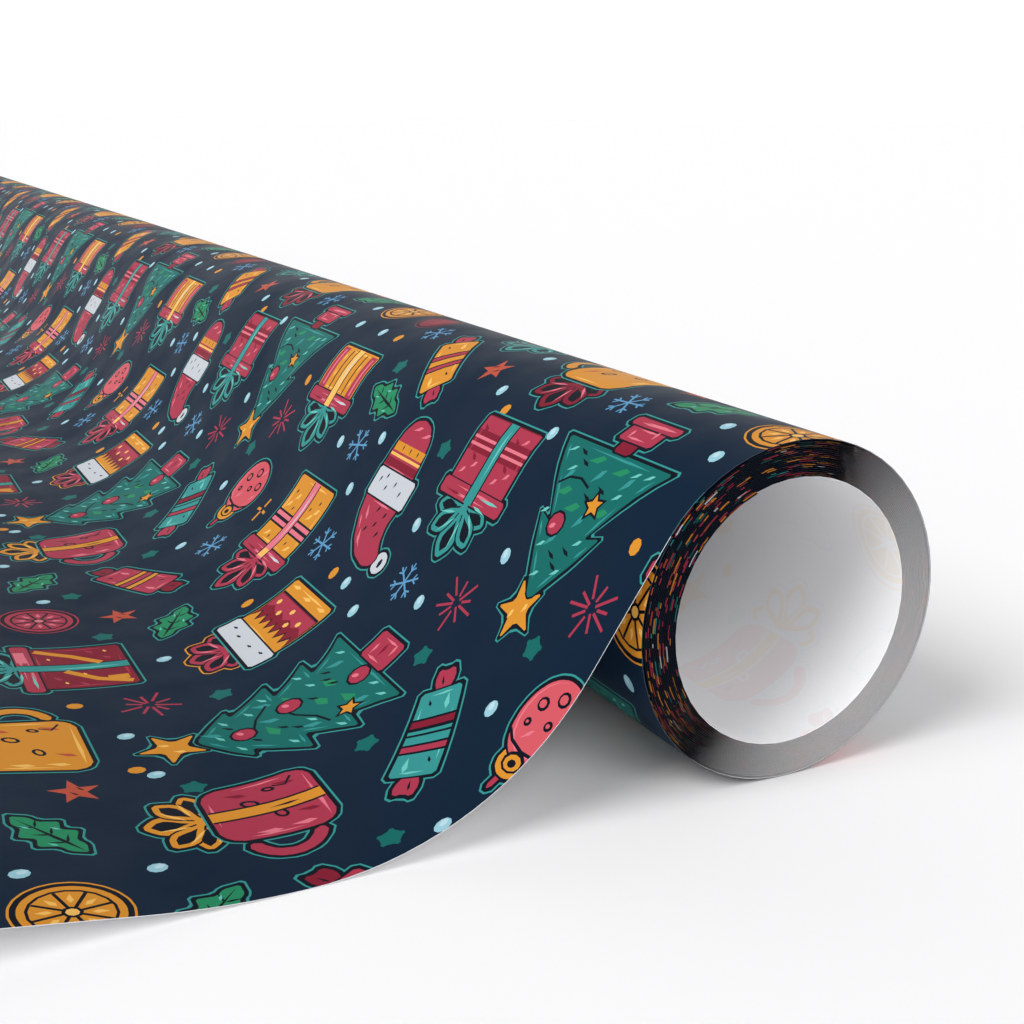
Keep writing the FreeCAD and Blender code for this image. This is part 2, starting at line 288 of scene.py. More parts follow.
# %% Shapes to draw with
def oval(a, b, wide, tall=None, count=10, tilt=0.0):
    """An ellipse: a + wide cos t, b + tall sin t, turned by tilt degrees."""
    t = np.linspace(0, 2 * pi, count, endpoint=False)
    return turned(np.c_[wide * np.cos(t), (tall or wide) * np.sin(t)], tilt) + (a, b)


def turned(shape, tilt):
    """The shape turned about the origin by tilt degrees."""
    c, s = cos(radians(tilt)), sin(radians(tilt))
    return np.asarray(shape, float) @ np.array([[c, s], [-s, c]])


def block(a0, b0, a1, b1, taper=0.0):
    """A box from corner to corner, its far side narrower by taper at each end."""
    return np.array([(a0, b0), (a1, b0), (a1 - taper, b1), (a0 + taper, b1)], float)


def stroke(a0, b0, a1, b1, wide=0.5):
    """A quick pen stroke: pointed at both ends and widest near its first third."""
    one, two = np.array([a0, b0], float), np.array([a1, b1], float)
    way = two - one
    side = np.array([-way[1], way[0]]) / np.hypot(*way) * wide / 2
    return np.array([one, one + way * 0.3 - side, two, one + way * 0.4 + side])


def ribbon(points, wide):
    """A band of constant width along a line of points, squared off at its ends."""
    line = np.array(points, float)
    way = np.gradient(line, axis=0)
    side = np.c_[-way[:, 1], way[:, 0]] / np.hypot(way[:, 0], way[:, 1])[:, None] * wide / 2
    return np.r_[line - side, (line + side)[::-1]]


def petal(a, b, long, wide, tilt, count=8):
    """A loop of ribbon: half-width wide / 2 sin(pi t^1.3) (0.6 + 0.5 t) along it, tilted."""
    t = np.linspace(0, 1, count)
    half = wide / 2 * np.sin(pi * t ** 1.3) * (0.6 + 0.5 * t)
    loop = np.r_[np.c_[t * long, -half], np.c_[t * long, half][::-1][1:-1]]
    return turned(loop, tilt) + (a, b)


def star(a, b, reach, tips=5, waist=0.42, tilt=90.0):
    """Tips at `reach` and notches at `waist` of it, turn and turn about."""
    t = np.arange(2 * tips) * pi / tips
    r = reach * np.where(np.arange(2 * tips) % 2 == 0, 1.0, waist)
    return turned(np.c_[r * np.cos(t), r * np.sin(t)], tilt) + (a, b)


def moved(layers, a, b, tilt=0.0):
    """Layers drawn round the origin, turned and put in their place."""
    return [(turned(shape, tilt) + (a, b), ink) for shape, ink in layers]


# %% Swelling a shape and softening its corners
def grown(shape, by):
    """Every corner moves out along the sum of its two sides' outward directions, over 1 + their dot."""
    ahead, back = np.roll(shape, -1, axis=0) - shape, shape - np.roll(shape, 1, axis=0)
    turn = np.sign(np.sum(shape[:, 0] * np.roll(shape[:, 1], -1) - np.roll(shape[:, 0], -1) * shape[:, 1]))
    sides = []
    for way in (ahead, back):
        way = way / np.maximum(np.hypot(way[:, 0], way[:, 1]), 1e-9)[:, None]
        sides.append(turn * np.c_[way[:, 1], -way[:, 0]])
    both = sides[0] + sides[1]
    return shape + by * both / np.maximum(1 + (sides[0] * sides[1]).sum(axis=1), 0.45)[:, None]


def softened(shape, by=0.5):
    """Every corner is cut off `by` mm along its two sides, or 0.35 of a shorter side."""
    corners = []
    for other in (np.roll(shape, 1, axis=0), np.roll(shape, -1, axis=0)):
        way = other - shape
        share = np.minimum(by / np.maximum(np.hypot(way[:, 0], way[:, 1]), 1e-9), 0.35)
        corners.append(shape + way * share[:, None])
    return np.stack(corners, axis=1).reshape(-1, 2)


LIGHTER = {"red": "pink", "crimson": "red", "mustard": "honey", "pine": "teal", "teal": "aqua"}


def side_strokes(shape, ink, least=4.0, inset=0.75):
    """A light stroke just inside every side longer than `least`: the side drawn in by `inset`."""
    inner = grown(shape, -inset)
    ahead = np.roll(inner, -1, axis=0)
    long = np.hypot(*(ahead - inner).T) > least
    return [(stroke(*(p + 0.12 * (q - p)), *(p + 0.80 * (q - p)), 0.42), ink)
            for p, q in zip(inner[long], ahead[long])]


def motif(parts, details=(), contour="teal", reach=0.86, smooth=0.5):
    """All contours, then all dark surrounds, then each part over its own line, then the details."""
    layers = [(softened(grown(part, reach), smooth * 1.6), contour) for part, _ in parts]
    layers += [(softened(grown(part, reach - 0.28), smooth * 1.3), "line") for part, _ in parts]
    for place, (part, ink) in enumerate(parts):
        if place:
            layers.append((softened(grown(part, 0.3), smooth), "line"))
        layers.append((softened(part, smooth), ink))
        if ink in LIGHTER:
            layers += side_strokes(part, LIGHTER[ink])
    return layers + list(details)


# %% [markdown]
# ### Bows and parcels
#
# A bow is five loops of ribbon round a knot, each with a dark inside and a light stroke. A parcel
# is a box with its lid, a ribbon over both and the bow on the lid.

# %% Bow and parcels
def bow(a, b, ink, light, wide=7.6, tall=8.6):
    """Loops at 10, 170, 90, 42 and 138 degrees from the knot at (a, b): parts and details."""
    parts, details = [], []
    for tilt, long, fat in ((10, wide, 3.6), (170, wide, 3.6), (90, tall, 5.4), (42, wide * 1.05, 4.2),
                            (138, wide * 1.05, 4.2)):
        parts.append((petal(a, b, long, fat, tilt), ink))
        c, s = cos(radians(tilt)), sin(radians(tilt))
        details.append((petal(a + c * long * 0.26, b + s * long * 0.26, long * 0.6, fat * 0.55, tilt, 6),
                        "line"))
        details.append((stroke(a + c * long * 0.25 - s, b + s * long * 0.25 + c,
                               a + c * long * 0.8 - s * 1.2, b + s * long * 0.8 + c * 1.2, 0.5), light))
    return parts, details + [(oval(a, b + 0.4, 1.1, 1.0, 6), ink)]


def flecks(places, ink, long=1.6, wide=0.5, tilt=40.0):
    """Short strokes of one ink, all leaning the same way."""
    c, s = cos(radians(tilt)) * long / 2, sin(radians(tilt)) * long / 2
    return [(stroke(a - c, b - s, a + c, b + s, wide), ink) for a, b in places]


def parcel(a, b, wide, tall, body, bands, lid, tie, light, bow_ink, bow_light):
    """A box centred on a with its foot at b: bands are (a0, b0, a1, b1, ink) inside it."""
    half = wide / 2
    loops, loop_details = bow(a, b + tall + 3.0, bow_ink, bow_light)
    parts = loops + [(block(a - half, b, a + half, b + tall), body),
                     (block(a - half - 1.3, b + tall, a + half + 1.3, b + tall + 2.6), lid)]
    details = loop_details + [(block(a + p, b + q, a + r, b + s), ink) for p, q, r, s, ink in bands]
    details += [(block(a - 1.5, b + 0.2, a + 1.5, b + tall + 2.4), "line"),
                (block(a - 1.15, b, a + 1.15, b + tall + 2.6), tie),
                (stroke(a - 0.3, b + 1.0, a - 0.3, b + tall - 1, 0.5), light),
                (stroke(a - half, b + tall + 0.9, a - 2.4, b + tall + 1.0, 0.5), light),
                (stroke(a + 2.6, b + tall + 1.9, a + half, b + tall + 1.8, 0.4), "crimson")]
    return motif(parts, details)


parcels = (
    parcel(46, 31, 16.4, 11, "crimson",
           [(-8.2, 3.6, 8.2, 4.1, "pink"), (-8.2, 4.8, 8.2, 5.3, "pink"), (-8.2, 6.2, 8.2, 10.8, "red"),
            (-8.2, 0.2, 8.2, 2.6, "red")], "red", "teal", "aqua", "teal", "aqua")
    + flecks([(40, 38.6), (42.5, 40), (50, 39), (52.4, 40.4), (40.4, 33)], "pink", 1.8, 0.7)
    + flecks([(41.5, 37.6), (51.2, 37.8), (52.6, 33.2), (42.4, 33.4)], "crimson", 2.2, 0.8, -35))
parcels += (
    parcel(110, 29.5, 16.4, 9.6, "mustard",
           [(-7.9, 0.4, -5.3, 9.4, "red"), (5.3, 0.4, 7.9, 9.4, "red"), (-3.6, 0.6, -3.2, 9.2, "line"),
            (3.0, 0.6, 3.4, 9.2, "line"), (-7.0, 1.0, -6.4, 8.8, "pink"), (6.2, 1.0, 6.8, 8.8, "pink")],
           "red", "honey", "snow", "teal", "aqua")
    + flecks([(105.9, 33), (105.6, 36.4), (114.6, 32), (114.2, 35.6)], "honey", 1.6, 0.6, 80))
parcels += (
    parcel(95, 54.2, 16, 14, "mustard",
           [(-8, 7.2, 8, 10.2, "line"), (-8, 7.6, 8, 8.4, "pink"), (-8, 9.0, 8, 9.8, "pink")],
           "red", "pink", "snow", "red", "pink")
    + [(block(94, 68.6, 96, 70.4), "honey")]
    + flecks([(89.4, 58.6), (90.8, 60), (99.4, 58.2), (101, 60), (89.6, 66.6), (100.4, 66.4)],
             "honey", 2.2, 0.9)
    + flecks([(90, 57), (92.2, 58.8), (98.6, 60.4), (101, 57.4), (91.4, 66), (98.8, 66.8)],
             "line", 1.1, 0.5, 60))
parcels += (
    parcel(74.5, 99.2, 16.8, 13.6, "crimson",
           [(-6.2, 1.0, -4.4, 4.0, "mustard")], "red", "teal", "aqua", "teal", "aqua")
    + [(ribbon([(67.2, 100), (69.2, 104.6), (73, 108.8)], 1.3), "mustard"),
       (ribbon([(76, 103), (79.4, 107), (82, 112)], 1.3), "mustard"),
       (block(77, 113.6, 81.6, 115.2), "pink")]
    + flecks([(67.6, 107), (70, 110.4), (78, 101.8), (81, 104)], "red", 1.8, 0.8)
    + flecks([(68.2, 109.4), (71.6, 106.2), (78.4, 110.4), (80.8, 101.6)], "honey", 1.0, 0.6, 10))
print(len(parcels), "shapes in the parcels")

# %% [markdown]
# ### Trees
#
# A fir is a stack of tiers in a pot. Each tier is wider than the top of the one below it, which
# gives the saw-toothed sides. Baubles, stars, sagging garlands and light and dark strokes fill it.

# %% Two fir trees
def fir(a, tiers):
    """Up the right side and down the left: each tier is (foot, half-width there, top, half-width there)."""
    right = []
    for foot, low, top, high in tiers:
        right += [(a + low, foot), (a + low * 0.62 + high * 0.3, foot + (top - foot) * 0.42), (a + high, top)]
    left = [(2 * a - p, q) for p, q in right[::-1]]
    return np.array(right + left, float)


def bauble(a, b, size=1.7):
    """A red ball with a dark rim and a glint."""
    return [(oval(a, b, size + 0.4), "line"), (oval(a, b, size), "red"),
            (oval(a + size * 0.3, b + size * 0.25, size * 0.4, size * 0.25, 6, 30), "pink")]


def little_star(a, b, size, ink="mustard", tilt=90.0):
    """A star with a dark rim."""
    return [(star(a, b, size + 0.8, 5, 0.5, tilt), "line"), (star(a, b, size, 5, 0.48, tilt), ink)]


tree_one = motif(
    [(star(20.3, 53, 4.6, 5, 0.38, 84), "mustard"),
     (fir(19.8, [(29, 12.6, 41.2, 4.4), (40.2, 7.6, 51, 0.5)]), "pine"),
     (block(17.9, 26.4, 21.5, 29), "crimson"), (block(15.8, 23.4, 23.4, 26.8), "red"),
     (block(14.2, 21.8, 24.8, 23.6), "red")],
    flecks([(10.6, 30.6), (13.2, 31), (29.2, 30.8), (26.4, 33.4), (13.8, 34.6), (23.6, 44.2), (16.2, 42),
            (21.4, 48), (17.4, 46.6), (26.8, 40)], "aqua", 2.0, 0.6, 35)
    + flecks([(16.4, 31.4), (22.6, 31), (15.2, 37.4), (21.4, 38.2), (25, 36.6)], "leaf_green", 3.4, 1.3, 20)
    + flecks([(24.6, 32), (26.6, 30.6), (17.6, 34.6), (19.6, 36.2), (17.6, 43.6), (20.2, 44.8), (18.6, 46)],
             "line", 2.4, 0.6, -20)
    + flecks([(13.6, 32.6), (20, 33), (26.2, 34.6), (18.4, 39.4), (22, 43)], "teal", 3.0, 1.0, 55)
    + [(ribbon([(20.4, 35), (23, 34.2), (25.6, 34.6), (27.4, 36)], 0.4), "line")]
    + little_star(17.2, 36.8, 1.7, "mustard", 70) + bauble(22.8, 41, 1.6)
    + flecks([(19.2, 52.4), (21.4, 54)], "honey", 1.6, 0.7, 70)
    + flecks([(17.4, 24.4), (21.8, 25.4)], "pink", 1.8, 0.6, 90)
    + [(stroke(15, 22.6, 20, 22.7, 0.4), "pink")])
tree_two = motif(
    [(star(41.3, 100.6, 4.9, 5, 0.38, 96), "mustard"),
     (fir(41.8, [(71.2, 11.9, 77.8, 7.4), (78, 11.8, 84.2, 6.6), (84.4, 11, 91.2, 5.4),
                 (91.4, 7.6, 97, 0.5)]), "pine"),
     (block(38, 66, 45.4, 71), "red")],
    flecks([(33.4, 73), (36.8, 72.6), (49.6, 72.8), (32.8, 79.6), (50.4, 80), (46.6, 79.2), (34.4, 86),
            (49, 86), (37.2, 92.4), (45.8, 92.6), (41.6, 94.2), (37.8, 82.2), (46.4, 88.8)],
           "aqua", 2.2, 0.6, 30)
    + flecks([(38, 76.4), (44.4, 77), (41.2, 79.6), (39.4, 87.4), (45.6, 83), (40.6, 91)],
             "leaf_green", 3.8, 1.6, 15)
    + flecks([(35.6, 75.6), (47.6, 74.6), (36.4, 82.8), (47.4, 86.6), (42.4, 87), (43, 95)],
             "teal", 3.2, 1.1, 60)
    + flecks([(43.6, 76.6), (45.4, 77), (47.2, 76.4), (37.6, 84.4), (39.2, 86), (44, 92.4), (38.4, 90),
              (42.8, 80.2)], "line", 2.2, 0.6, 40)
    + [(ribbon([(35, 80.4), (38, 81.4), (41, 83.6), (43.2, 84.4)], 0.4), "line"),
       (ribbon([(41, 89.6), (44, 88.4), (47, 86)], 0.4), "line")]
    + bauble(41, 73.2, 1.7) + bauble(44, 83.4, 1.7) + bauble(41, 91, 1.6)
    + little_star(35.4, 77.4, 1.6, "mustard", 100)
    + flecks([(40, 100), (42.4, 101.6)], "honey", 1.8, 0.8, 70)
    + flecks([(39.6, 67.6), (43.8, 69)], "pink", 2.2, 0.6, 90)
    + flecks([(41.8, 68.4)], "crimson", 2.6, 0.8, 90))
print(len(tree_one) + len(tree_two), "shapes in the trees")

# %% [markdown]
# ### Mugs, a cake, a cap and sweets
#
# The same way of drawing serves everything else: a mug is a tapered block with a looped handle, a
# cake is a block in layers with a ragged icing, a cap is a dome, a brim and a long curved tail, and
# a sweet is a block in stripes with a twist of wrapper at each end.

# %% Mugs
def mug(a, b, wide, tall, ink, light, shade, side, ribbon_ink=None):
    """A block with its foot at b, narrower at the top by 0.8 a side, and a handle to one side."""
    t = np.linspace(-1.35, 1.35, 6)
    edge = a + side * (wide / 2 - 0.6)
    loop = np.c_[edge + side * 4.6 * np.cos(t), b + tall * 0.5 + 4.4 * np.sin(t)]
    body = softened(block(a - wide / 2, b, a + wide / 2, b + tall, 0.8), 1.7)
    parts = [(ribbon(loop, 1.7), ink), (body, ink)]
    details = flecks([(a - wide * 0.38, b + tall * 0.3), (a - wide * 0.38, b + tall * 0.6)],
                     light, 3.2, 1.0, 82)
    details += flecks([(a + wide * 0.34, b + tall * 0.25), (a + wide * 0.3, b + tall * 0.7),
                       (a - wide * 0.2, b + tall * 0.2)], shade, 3.0, 1.0, 70)
    for p, q, size, tilt in ((0.12, 0.62, 1.3, 60), (-0.14, 0.42, 1.2, 20), (0.3, 0.4, 0.9, 70)):
        details += [(oval(a + wide * p, b + tall * q, size, size * 0.7, 10, tilt), "line"),
                    (oval(a + wide * p, b + tall * q, size - 0.45, size * 0.7 - 0.4, 6, tilt), ink)]
    details += [(stroke(a - wide * 0.4, b + 0.9, a + wide * 0.4, b + 0.8, 0.5), light),
                (ribbon([(a + wide * 0.42, b + 2.2), (a + wide * 0.3, b + 3.4), (a + wide * 0.34, b + 5)], 0.35),
                 "line")]
    if ribbon_ink:
        details += [(block(a - 1.6, b + 0.1, a + 1.4, b + tall - 0.1), "line"),
                    (block(a - 1.2, b, a + 1.0, b + tall), ribbon_ink),
                    (stroke(a - 0.2, b + 3, a - 0.2, b + 7, 0.5), "line")]
    return parts, details


def mug_with_bow(a, b, wide, tall, ink, light, shade, side, bow_ink, bow_light, ribbon_ink=None):
    """The bow sits at the far end of the mug and is drawn first, so that the mug covers its knot."""
    loops, loop_details = bow(a - 0.4, b + tall + 0.6, bow_ink, bow_light, 7.4, 7.6)
    parts, details = mug(a, b, wide, tall, ink, light, shade, side, ribbon_ink)
    return motif(loops, loop_details) + motif(parts, details, smooth=0.7)


mugs = mug_with_bow(45.6, 4.2, 16.6, 14.6, "mustard", "honey", "rust", 1, "crimson", "pink")
mugs += mug_with_bow(20, 87.2, 15, 14.2, "red", "pink", "crimson", -1, "mustard", "honey", "mustard")

# %% Cake, cap and sweets
def ragged(a0, a1, b0, b1, teeth, depth):
    """A block whose far side is a row of points, `teeth` of them and `depth` deep."""
    t = np.linspace(a1, a0, 2 * teeth + 1)
    far = np.c_[t, b1 - depth * (np.arange(2 * teeth + 1) % 2)]
    return np.r_[[(a0, b0), (a1, b0)], far]


cake_bow, cake_bow_details = bow(69.8, 84.6, "red", "pink", 7.0, 6.6)
cake = motif(cake_bow, cake_bow_details, "mustard") + motif(
    [(block(61.4, 69, 77.8, 80.4), "mustard"), (block(60.6, 80, 78.6, 84.2), "snow")],
    [(ragged(61.5, 77.7, 71.6, 78.6, 7, 1.9), "line"), (ragged(61.7, 77.5, 72.0, 78.1, 7, 1.9), "crimson"),
     (ragged(61.8, 77.4, 72.2, 75.4, 4, 0.9), "red")]
    + [(oval(a, b, 0.6, count=6), "honey")
       for a, b in ((65, 74.2), (69.6, 73.4), (72.4, 75), (75.6, 73.6), (67.4, 75.6))]
    + flecks([(63.6, 81.4), (67.6, 82), (72.6, 82.2), (76, 81.6)], "line", 1.5, 0.5, 10)
    + flecks([(64, 70.2), (70, 70.4), (75.6, 70)], "honey", 3.0, 0.8, 5))
cap = motif(
    [(oval(60, 59, 2.0, 2.0, 10), "snow"),
     (np.array([(64, 50.6), (76.4, 50.6), (75.2, 54.2), (72.4, 57.8), (68.6, 60.2), (64.4, 61), (62, 60.2),
                (61.6, 58.4), (63.6, 56.6), (64.6, 53.8)]), "red"),
     (np.array([(64.6, 46.2), (65.2, 42), (66, 39), (68, 36.9), (70.8, 36.2), (73.6, 36.9), (75.4, 39),
                (76.2, 42), (76.6, 46.2)]), "red"),
     (block(62.8, 45.8, 76.8, 50.8), "snow")],
    [(block(65.1, 41.0, 76.0, 42.6), "mustard"), (block(64.9, 43.0, 76.2, 43.5), "honey"),
     (block(64.7, 43.9, 76.4, 45.3), "crimson"), (oval(59.8, 59, 0.5, 0.9, 6), "line")]
    + flecks([(67.4, 41.8), (70.2, 41.8), (73, 41.8)], "line", 1.2, 0.4, 88)
    + flecks([(66.2, 48.6), (69, 47.6), (71.6, 48.8), (74.6, 47.8), (72.8, 46.9)], "line", 1.3, 0.5, 70)
    + flecks([(66.8, 52.6), (69.8, 52.2), (68.4, 54.6), (66.2, 55.8), (70.6, 56)], "line", 1.5, 0.6, 60)
    + flecks([(68, 38.6), (71.6, 38)], "pink", 3.0, 0.7, 20)
    + flecks([(72.8, 53.4), (71, 57.4)], "pink", 3.0, 0.7, -55))


def sweet(body, bands, light, ends):
    """Lies along a, centred on the origin: 15 by 7, with a twist of wrapper at each end."""
    twist = np.array([(7.2, -0.9), (9.2, -1.9), (11.2, -1.4), (10.6, 0.0),
                      (11.4, 1.3), (9.2, 1.7), (7.2, 0.9)])
    parts = [(twist, ends), (-twist, ends), (block(-7.6, -3.4, 7.6, 3.4), body)]
    details = [(block(p, -3.4, q, 3.4), ink) for p, q, ink in bands]
    details += flecks([(-5.4, 1.6), (5.2, -1.4)], light, 2.8, 0.9, 0)
    details += flecks([(-4.8, -1.6), (5.6, 1.5)], "line", 1.3, 0.5, 20)
    details += flecks([(9.2, 0.3), (-9.2, -0.3)], "line", 2.0, 0.4, 8)
    return motif(parts, details)


striped = [(-2.6, 2.6, "line"), (-2.2, -1.2, "red"), (-0.8, 0.8, "mustard"), (1.2, 2.2, "red")]
banded = [(-3.4, 3.0, "line"), (-3.0, -2.0, "red"), (-1.6, -0.2, "teal"), (0.2, 0.8, "teal"),
          (1.4, 2.6, "crimson")]
tied = [(-2.4, 2.6, "line"), (-2.0, -0.9, "mustard"), (-0.4, 0.8, "red"), (1.2, 2.2, "mustard")]
sweets = moved(sweet("mustard", striped, "honey", "red"), 81.4, 25, -47)
sweets += moved(sweet("teal", banded, "aqua", "red"), 18.3, 72.4, -45)
sweets += moved(sweet("red", tied, "pink", "crimson"), 112, 89.5, 27)
print(len(mugs) + len(cake) + len(cap) + len(sweets), "shapes in mugs, cake, cap and sweets")

# %% [markdown]
# ### Balls, fruit, holly and the small scatter
#
# Between the big things lie leaves, slices of fruit, stars, snowflakes, dots and clovers, so that
# no patch of the ground stays empty for more than a centimetre or so.

# %% Balls, slices of fruit and leaves
def fruit_slice(a, b, size, ink, light):
    """A round with a rind, eight dark spokes between its segments and a light glance on each."""
    t = np.arange(8) * pi / 4 + 0.3
    far = size - 1.25
    spokes = [(ribbon([(a, b), (a + c * far, b + s * far)], 0.42), "line")
              for c, s in zip(np.cos(t), np.sin(t))]
    glances = [(stroke(a + c * far * 0.45, b + s * far * 0.45,
                       a + c * far * 0.88, b + s * far * 0.88, 0.8), light)
               for c, s in zip(np.cos(t + 0.4), np.sin(t + 0.4))]
    return motif([(oval(a, b, size, count=22), ink)],
                 [(oval(a, b, size - 0.85, count=18), "line"), (oval(a, b, size - 1.2, count=18), ink)]
                 + glances + spokes + [(oval(a, b, 1.15, count=8), "line"),
                    (oval(a, b, 0.75, count=8), light)],
                 ink, 0.95)


def holly(a, b, tilt):
    """A leaf along a: half-width 2.9 sin(pi t) with a wave on it, a midrib and veins."""
    t = np.linspace(0, 1, 9)
    half = 2.9 * np.sin(pi * t) * np.where(np.arange(9) % 2 == 0, 0.62, 1.15)
    edge = np.r_[np.c_[(t - 0.5) * 12.4, -half], np.c_[(t - 0.5) * 12.4, half][::-1][1:-1]]
    veins = [(stroke(x, 0, x + 1.6, side * 1.6, 0.4), "line") for x in (-3.0, -0.4, 2.2) for side in (-1, 1)]
    return moved(motif([(edge, "leaf_green")],
                       [(stroke(-6, 0, 5.6, 0.1, 0.6), "line")] + veins
                       + flecks([(-2.2, 1.5), (0.6, -1.5), (3, 0.8)], "aqua", 1.4, 0.4, 20),
                       "teal", 0.8, 0.3), a, b, tilt)


curls = [(-1.5, 61.2, 1.15), (1.6, 58.8, 1.2), (4.6, 60.6, 1.1), (1.2, 62.4, 0.8), (5.0, 63.4, 0.7)]
ball = motif(
    [(ribbon([(1.9, 69.6), (1.7, 72.4)], 0.9), "red"), (oval(1.8, 68.2, 3.0, 2.3, 12), "mustard"),
     (oval(1.8, 62.2, 5.8, count=20), "coral")],
    [(oval(1.9, 62.0, 5.3, 5.2, 18), "pink"), (oval(1.8, 61.9, 5.1, 5.1, 18), "coral"),
     (ribbon([(-3.2, 65.4), (-1, 66.4), (2, 66.7), (5, 66.2), (6.8, 65.2)], 0.45), "line"),
     (oval(1.8, 68.2, 2.1, 1.5, 10), "line"), (oval(1.8, 68.3, 1.6, 1.1, 10), "mustard"),
     (oval(1.8, 68.4, 0.8, 0.55, 8), "line")]
    + [layer for a, b, size in curls for layer in
       ((oval(a, b, size, size * 0.9, 10), "line"),
        (oval(a + 0.1, b, size - 0.4, size * 0.9 - 0.4, 8), "coral"))]
    + flecks([(-2.2, 63.6), (3.4, 64.6), (-0.4, 58.4)], "pink", 2.4, 0.6, 50))
rounds = ball + fruit_slice(2, 13.6, 5.6, "mustard", "honey") + fruit_slice(97, 108.8, 5.4, "red", "pink")
rounds += motif([(oval(106.8, 14.6, 3.4, 4.2, 10, 20), "crimson")],
                flecks([(106, 15.6), (107.6, 13.4)], "red", 3.0, 0.9, 70), "crimson", 0.9)
leaves = holly(20, 13, 35) + holly(89, 36, -12) + holly(87.5, 89, -32) + holly(118, 106.5, -40)

# %% Stars, snowflakes, dots and clovers
def burst(a, b, reach, spokes, ink, wide, tilt=0.0):
    """Thin bars from near the middle outwards, every other one shorter, none quite in step."""
    n = np.arange(spokes)
    t = n * 2 * pi / spokes + radians(tilt) + 0.12 * np.sin(5 * n)
    near, far = reach * (0.16 + 0.06 * (n % 3)), reach * np.where(n % 2 == 0, 1.0, 0.74)
    return [(ribbon([(a + q * c, b + q * s), (a + r * c, b + r * s)], wide), ink)
            for q, r, c, s in zip(near, far, np.cos(t), np.sin(t))]


def snowflake(a, b, reach, ink, tilt=0.0):
    """Three bars through one middle, each with a pair of short barbs near both ends."""
    flake = []
    for t in radians(tilt) + np.arange(6) * pi / 3:
        tip = (a + reach * cos(t), b + reach * sin(t))
        root = (a + 0.6 * reach * cos(t), b + 0.6 * reach * sin(t))
        flake.append((ribbon([(a, b), tip], 0.36), ink))
        flake += [(ribbon([root, (root[0] + 1.1 * cos(t + q), root[1] + 1.1 * sin(t + q))], 0.3), ink)
                  for q in (-0.8, 0.8)]
    return flake


scatter = []
for a, b in ((66.5, 23), (96, 96), (31, 8)):
    scatter += [(star(a, b, 3.4, 5, 0.4, 80), "rust")]
    scatter += flecks([(a - 0.6, b + 0.3), (a + 0.8, b - 0.6)], "line", 1.5, 0.4)
for a, b, tilt in ((6.5, 48, 8), (34.5, 57, 25), (57, 100, 40)):
    scatter += burst(a, b, 4.5, 10, "red", 0.42, tilt)
for a, b, tilt in ((31, 20, 5), (97.5, 19, 20), (89, 45, 12), (50, 59, 30), (80, 62, 2), (112, 75, 15)):
    scatter += snowflake(a, b, 3.3, "sky", tilt)
for a, b in ((4.5, 24), (11, 17.5), (36.5, 30), (58, 26.5), (29.5, 48), (56, 51), (43, 60),
             (12.5, 65), (56.5, 67),
             (64.5, 64.5), (82, 42), (83, 52), (96, 46), (112, 24), (63, 15), (1, 79), (73.5, 94), (47, 105.5),
             (34, 104.5), (10, 110), (107, 106.5)):
    scatter += [(oval(a, b, 1.0, 1.25, 10, 20), "ice"), (oval(a + 0.3, b - 0.3, 0.45, 0.7, 6, 20), "frost")]
for a, b in ((52, 29.5), (5, 39), (70, 64.5), (82, 77.5), (36, 106.5), (59, 110), (104.5, 24)):
    scatter += [(oval(a, b, 1.0, 1.2, 9, 10), "mustard")]
for a, b in ((13, 56), (60.5, 39), (92.5, 29.5), (33, 65.5), (25, 79), (4, 84.5), (55.5, 90), (87, 100.5),
             (109, 101.5), (29, 101)):
    scatter += [(softened(star(a, b, 2.2, 5, 0.5, 12 + 9 * a), 0.7), "pine")]
scatter += burst(109, 64, 2.6, 4, "mustard", 0.6, 90)

PRINT = scatter + leaves + rounds + sweets + mugs + cake + cap + parcels + tree_one + tree_two
print(len(PRINT), "shapes,", sum(len(shape) for shape, _ in PRINT), "corners in one repeat of the print")

# %% [markdown]
# ## Cutting the print into a face of the paper
#
# A face of the paper is flat before it is rolled: a rectangle of so many millimetres along the roll
# by so many along the web. All shapes that touch it are cut into it at once, together with a line
# across the paper wherever the rolled surface will be folded, and a constrained triangulation does
# the cutting. Each triangle takes the ink of the topmost shape that covers it. Where one turn hides
# another for good, nobody sees the print, so there a plain cover lies over it and saves triangles.

# %% One rectangle of a face
REPEAT = np.array([119.0, 107.0])     # one repeat of the print: along the roll, along the web
WEB_FROM = 36.0                       # where a repeat starts, measured back from the leaving point


def copies(shapes, low, high, cover):
    """Every repeat of every shape that touches the rectangle and isn't wholly under the cover."""
    for shape, ink in shapes:
        small, large = shape.min(axis=0), shape.max(axis=0)
        least = np.ceil((low - large) / REPEAT).astype(int)
        most = np.floor((high - small) / REPEAT).astype(int)
        for i in range(least[0], most[0] + 1):
            for j in range(least[1], most[1] + 1):
                by = REPEAT * (i, j)
                if cover is None or small[0] + by[0] < cover[0] or large[0] + by[0] > cover[1]:
                    yield shape + by, ink


